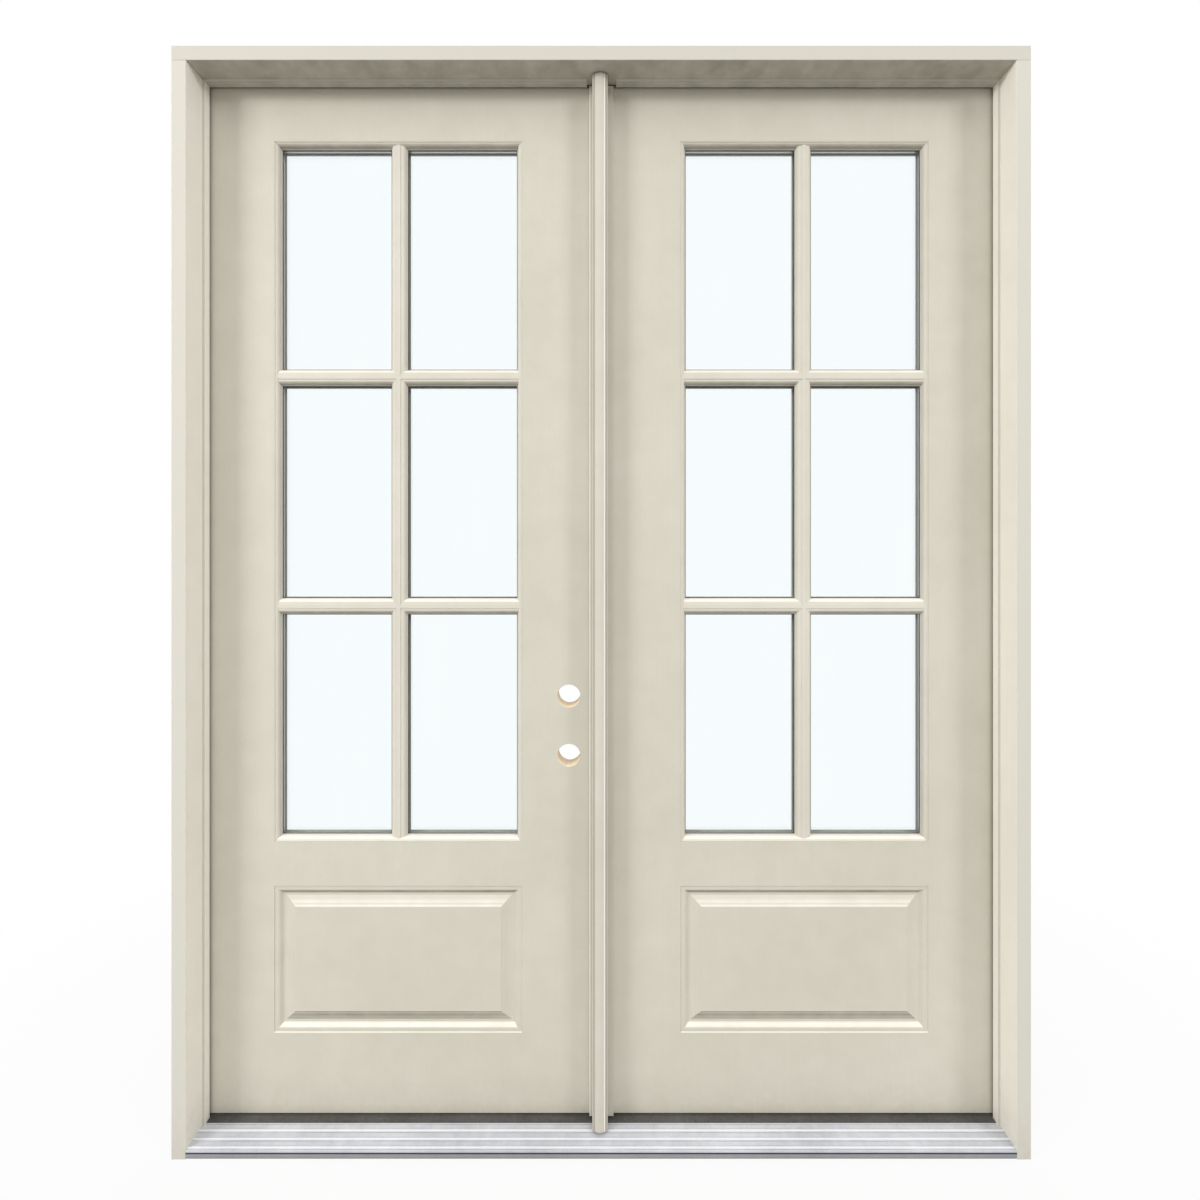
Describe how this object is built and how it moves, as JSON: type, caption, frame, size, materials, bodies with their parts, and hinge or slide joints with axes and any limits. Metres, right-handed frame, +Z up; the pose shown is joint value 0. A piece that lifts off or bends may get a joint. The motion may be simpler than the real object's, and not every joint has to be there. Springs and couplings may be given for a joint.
{
  "type": "french doors",
  "caption": "Inswing pair of glazed french doors in their own frame: divided glass over a raised panel, astragal with flush bolts, bored for a lock, ribbed sill.",
  "frame": {"origin": "middle of the frame's foot, in the width and in the depth of the jambs", "axes": "X along the wall, +X to the passive leaf; +Y from the outside to the room; +Z up"},
  "size_m": [1.9114, 0.1293, 2.4765],
  "materials": {
    "primed_frame": "matt primer on jointed softwood",
    "sill_composite": "extruded composite, matt",
    "mill_aluminium": "mill finish with fine lengthwise drawing lines",
    "dark_cap": "dark composite, satin",
    "satin_steel": "satin, brushed",
    "pin_steel": "satin, turned",
    "bolt_steel": "zinc plated, satin",
    "weatherstrip_vinyl": "foam-filled vinyl, matt",
    "seal_foam": "closed-cell foam, matt",
    "sweep_vinyl": "soft vinyl, matt",
    "stile_wood": "planed softwood",
    "core_foam": "rigid foam",
    "primed_skin": "smooth moulded skin with matt factory primer",
    "primed_lite": "moulded frame with matt factory primer",
    "primed_astragal": "milled softwood with matt factory primer",
    "clear_glass": "clear float glass",
    "spacer_bar": "satin, folded bar"
  },
  "bodies": {
    "frame": {"left_jamb": "primed_frame", "right_jamb": "primed_frame", "head_jamb": "primed_frame", "sill_base": "sill_composite", "sill_deck": "mill_aluminium", "threshold_cap": "dark_cap", "threshold_bolt_bush": "satin_steel", "head_bolt_strike": "satin_steel", "left_weatherstrip": "weatherstrip_vinyl", "right_weatherstrip": "weatherstrip_vinyl", "head_weatherstrip": "weatherstrip_vinyl", "corner_pads": "seal_foam", "left_jamb_hinge_leaves": "satin_steel", "right_jamb_hinge_leaves": "satin_steel", "left_hinge_pins": "pin_steel", "right_hinge_pins": "pin_steel"},
    "active_leaf": {"active_hinge_stile": "stile_wood", "active_meeting_stile": "stile_wood", "active_top_rail": "stile_wood", "active_bottom_rail": "stile_wood", "active_core": "core_foam", "active_exterior_skin": "primed_skin", "active_interior_skin": "primed_skin", "active_exterior_light_frame": "primed_lite", "active_interior_light_frame": "primed_lite", "active_exterior_muntins": "primed_lite", "active_interior_muntins": "primed_lite", "active_outer_pane": "clear_glass", "active_inner_pane": "clear_glass", "active_glass_spacer": "spacer_bar", "active_door_sweep": "sweep_vinyl", "active_hinge_leaves": "satin_steel", "active_lock_block": "stile_wood"},
    "passive_leaf": {"passive_hinge_stile": "stile_wood", "passive_meeting_stile": "stile_wood", "passive_top_rail": "stile_wood", "passive_bottom_rail": "stile_wood", "passive_core": "core_foam", "passive_exterior_skin": "primed_skin", "passive_interior_skin": "primed_skin", "passive_exterior_light_frame": "primed_lite", "passive_interior_light_frame": "primed_lite", "passive_exterior_muntins": "primed_lite", "passive_interior_muntins": "primed_lite", "passive_outer_pane": "clear_glass", "passive_inner_pane": "clear_glass", "passive_glass_spacer": "spacer_bar", "passive_door_sweep": "sweep_vinyl", "passive_hinge_leaves": "satin_steel", "astragal": "primed_astragal", "astragal_seal": "seal_foam", "top_bolt_plate": "satin_steel", "bottom_bolt_plate": "satin_steel"},
    "top_bolt": {"top_flush_bolt": "bolt_steel"},
    "bottom_bolt": {"bottom_flush_bolt": "bolt_steel"}
  },
  "joints": [
    {"name": "active_swing", "type": "hinge", "parent": "frame", "child": "active_leaf", "pos_m": [-0.9319, 0.065, 0], "axis": [0, 0, 1], "range_deg": [0, 100]},
    {"name": "passive_swing", "type": "hinge", "parent": "frame", "child": "passive_leaf", "pos_m": [0.9319, 0.065, 0], "axis": [0, 0, -1], "range_deg": [0, 90]},
    {"name": "top_bolt_slide", "type": "slide", "parent": "passive_leaf", "child": "top_bolt", "axis": [0, 0, 1], "range_m": [0, 0.016]},
    {"name": "bottom_bolt_slide", "type": "slide", "parent": "passive_leaf", "child": "bottom_bolt", "axis": [0, 0, -1], "range_m": [0, 0.016]}
  ],
  "couplings": [
    {"joint": "passive_swing", "follows": "active_swing", "ratio": 0.9}
  ]
}
